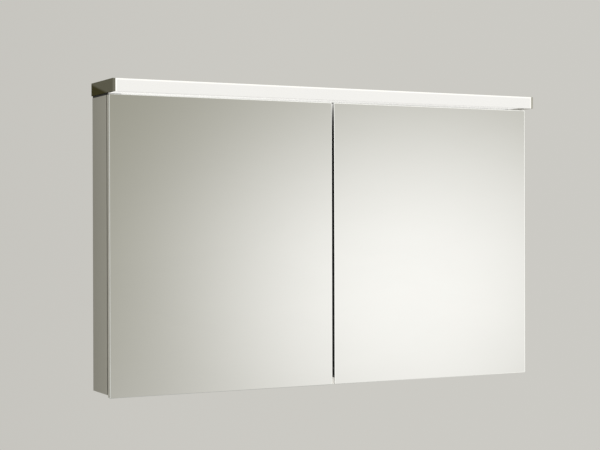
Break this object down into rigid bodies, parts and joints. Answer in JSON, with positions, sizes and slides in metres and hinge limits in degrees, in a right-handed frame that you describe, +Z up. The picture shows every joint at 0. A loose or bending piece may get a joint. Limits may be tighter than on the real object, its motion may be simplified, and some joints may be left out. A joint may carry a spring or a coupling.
{
  "type": "medicine cabinet",
  "caption": "Wide wall-hung mirror cabinet with two hinged mirror doors, glass shelves, a light canopy across the top and a light strip underneath.",
  "frame": {"origin": "in the wall plane, at the middle of the wall rail's screw slots", "axes": "+X along the wall, to the right as seen from the front; -Y out of the wall, towards the user; +Z up"},
  "size_m": [1.2, 0.155, 0.75],
  "materials": {
    "satin_aluminium": "satin, fine brushed",
    "inner_panel": "smooth white coated board",
    "polished_cap": "polished",
    "opal_lit": "opal, lit white",
    "front_mirror": "clear silvered glass",
    "inner_mirror": "clear silvered glass",
    "core_board": "coated board",
    "shelf_glass": "clear",
    "hinge_nickel": "satin nickel",
    "zinc_steel": "zinc plated",
    "board_white": "white solder mask",
    "driver_case": "fine grain",
    "black_rubber": "matte",
    "clear_stop": "soft clear",
    "white_plastic": "smooth",
    "black_lens": "gloss"
  },
  "bodies": {
    "cabinet": {"side_panel_left": "satin_aluminium", "side_panel_right": "satin_aluminium", "top_panel": "inner_panel", "bottom_panel": "inner_panel", "centre_partition": "inner_panel", "back_panel": "inner_panel", "wall_rail": "zinc_steel", "hanger_left": "zinc_steel", "hanger_right": "zinc_steel", "hanger_screws": "zinc_steel", "light_housing": "satin_aluminium", "light_end_cap_left": "polished_cap", "light_end_cap_right": "polished_cap", "light_front_diffuser": "opal_lit", "light_top_diffuser": "opal_lit", "light_switch_plate": "satin_aluminium", "light_switch_lens": "black_lens", "light_board_front": "board_white", "light_board_top": "board_white", "light_driver": "driver_case", "light_spacers": "black_rubber", "light_screws": "zinc_steel", "cable_grommet": "black_rubber", "under_light_channel": "satin_aluminium", "under_light_board": "board_white", "under_light_diffuser": "opal_lit", "glass_shelves_left": "shelf_glass", "glass_shelves_right": "shelf_glass", "shelf_pins": "hinge_nickel", "socket_frame": "white_plastic", "socket_inserts": "white_plastic", "door_stops": "clear_stop", "corner_angles": "zinc_steel", "hinge_plates_left": "hinge_nickel", "hinge_plates_right": "hinge_nickel", "hinge_arms_left": "hinge_nickel", "hinge_arms_right": "hinge_nickel", "hinge_screws": "hinge_nickel"},
    "left_links": {"hinge_links_left": "hinge_nickel"},
    "left_door": {"door_mirror_left": "front_mirror", "door_core_left": "core_board", "door_frame_left": "satin_aluminium", "inner_mirror_left": "inner_mirror", "hinge_cups_left": "hinge_nickel", "cup_screws_left": "hinge_nickel"},
    "right_links": {"hinge_links_right": "hinge_nickel"},
    "right_door": {"door_mirror_right": "front_mirror", "door_core_right": "core_board", "door_frame_right": "satin_aluminium", "inner_mirror_right": "inner_mirror", "hinge_cups_right": "hinge_nickel", "cup_screws_right": "hinge_nickel"}
  },
  "joints": [
    {"name": "left_link_swing", "type": "hinge", "parent": "cabinet", "child": "left_links", "pos_m": [-0.5587, -0.1002, -0.297], "axis": [0, 0, 1], "range_deg": [0, 34.41]},
    {"name": "left_door_swing", "type": "hinge", "parent": "left_links", "child": "left_door", "pos_m": [-0.5844, -0.1056, -0.297], "axis": [0, 0, -1], "range_deg": [0, 134.4]},
    {"name": "right_link_swing", "type": "hinge", "parent": "cabinet", "child": "right_links", "pos_m": [0.5587, -0.1002, -0.297], "axis": [0, 0, -1], "range_deg": [0, 34.41]},
    {"name": "right_door_swing", "type": "hinge", "parent": "right_links", "child": "right_door", "pos_m": [0.5844, -0.1056, -0.297], "axis": [0, 0, 1], "range_deg": [0, 134.4]}
  ],
  "couplings": [
    {"joint": "left_link_swing", "follows": "left_door_swing", "ratio": 0.256},
    {"joint": "right_link_swing", "follows": "right_door_swing", "ratio": 0.256}
  ]
}
